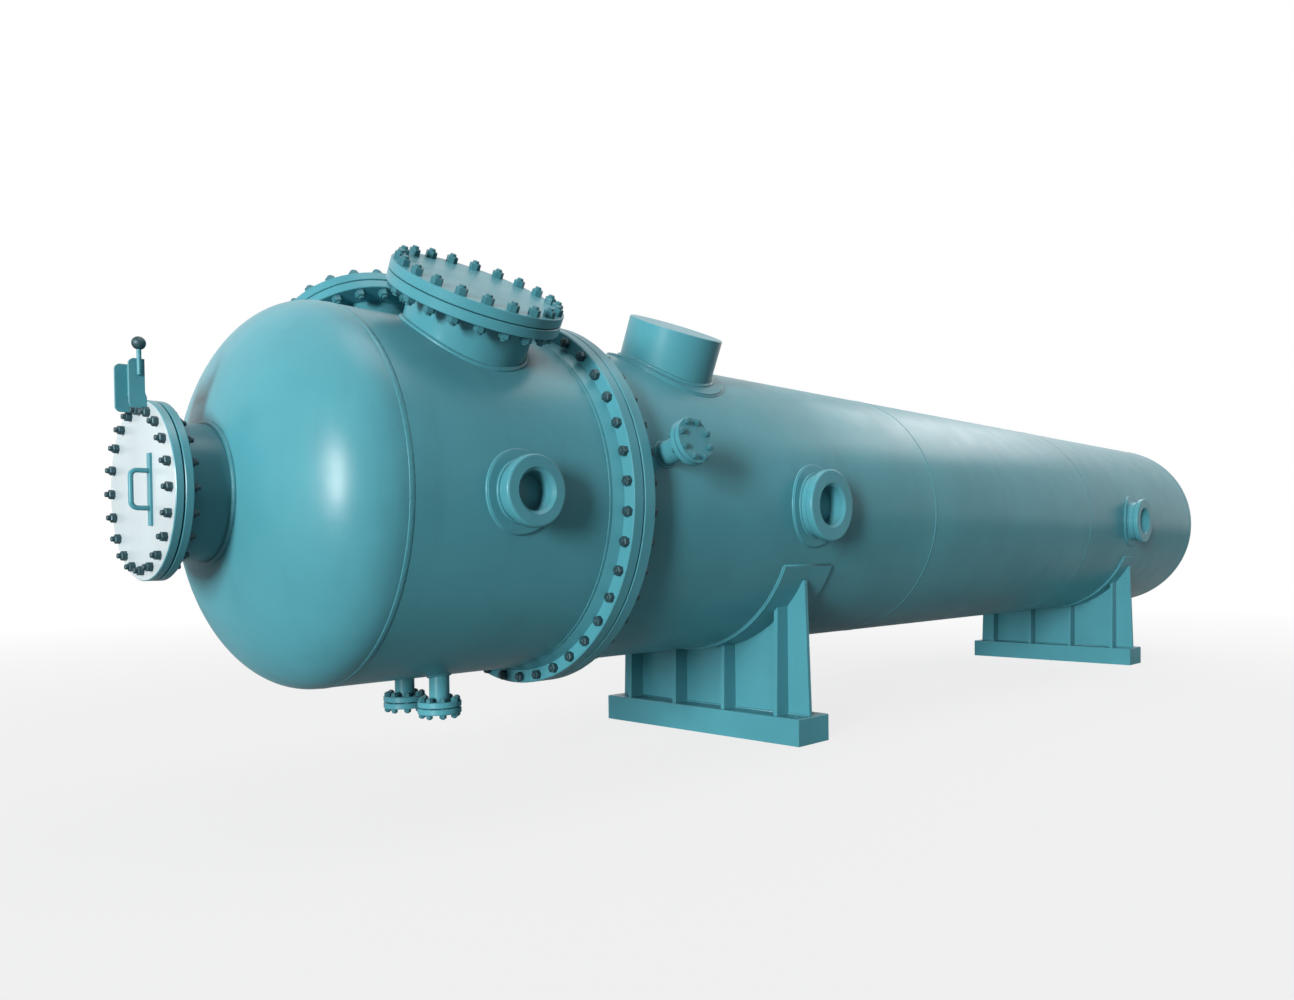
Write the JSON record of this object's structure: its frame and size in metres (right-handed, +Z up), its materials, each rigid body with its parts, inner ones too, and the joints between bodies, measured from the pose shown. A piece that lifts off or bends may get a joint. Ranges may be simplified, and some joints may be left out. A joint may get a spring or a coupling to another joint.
{
  "type": "feedwater heater",
  "caption": "Horizontal shell and tube feedwater heater: a long painted cylinder on two saddles, with a flanged water box, blinded nozzles, a bolted manway and lifting trunnions.",
  "frame": {"origin": "on the ground, under the middle of the front saddle's base", "axes": "+X along the vessel from the water box to the tail head, +Z up, -Y towards the side with the small nozzle"},
  "size_m": [10.123, 1.8976, 2.3732],
  "materials": {
    "teal_paint": "semi-gloss teal machine paint",
    "cover_paint": "pale blue-grey paint",
    "dark_steel": "oiled dark steel",
    "gasket": "matt black joint sheet"
  },
  "bodies": {
    "root": {"channel_head": "teal_paint", "channel_barrel": "teal_paint", "channel_flange": "teal_paint", "girth_gasket": "gasket", "tube_sheet": "teal_paint", "shell_course_front": "teal_paint", "shell_course_middle": "teal_paint", "shell_course_rear": "teal_paint", "tail_head": "teal_paint", "manway_neck": "teal_paint", "manway_cover": "cover_paint", "manway_handle": "teal_paint", "davit_bracket": "teal_paint", "davit_rod": "teal_paint", "davit_knob": "dark_steel", "water_nozzle_near": "teal_paint", "water_cover_near": "teal_paint", "water_nozzle_far": "teal_paint", "water_cover_far": "teal_paint", "drain_nozzle_near": "teal_paint", "drain_cover_near": "teal_paint", "drain_nozzle_far": "teal_paint", "drain_cover_far": "teal_paint", "steam_stub": "teal_paint", "steam_cap": "teal_paint", "steam_pad": "teal_paint", "side_nozzle": "teal_paint", "side_cover": "teal_paint", "trunnion_pads_channel": "teal_paint", "trunnion_posts_channel": "teal_paint", "trunnion_pads_front": "teal_paint", "trunnion_posts_front": "teal_paint", "trunnion_pads_tail": "teal_paint", "trunnion_posts_tail": "teal_paint", "front_wear_plate": "teal_paint", "front_web": "teal_paint", "front_ribs": "teal_paint", "front_base": "teal_paint", "rear_wear_plate": "teal_paint", "rear_web": "teal_paint", "rear_ribs": "teal_paint", "rear_base": "teal_paint"}
  },
  "joints": []
}
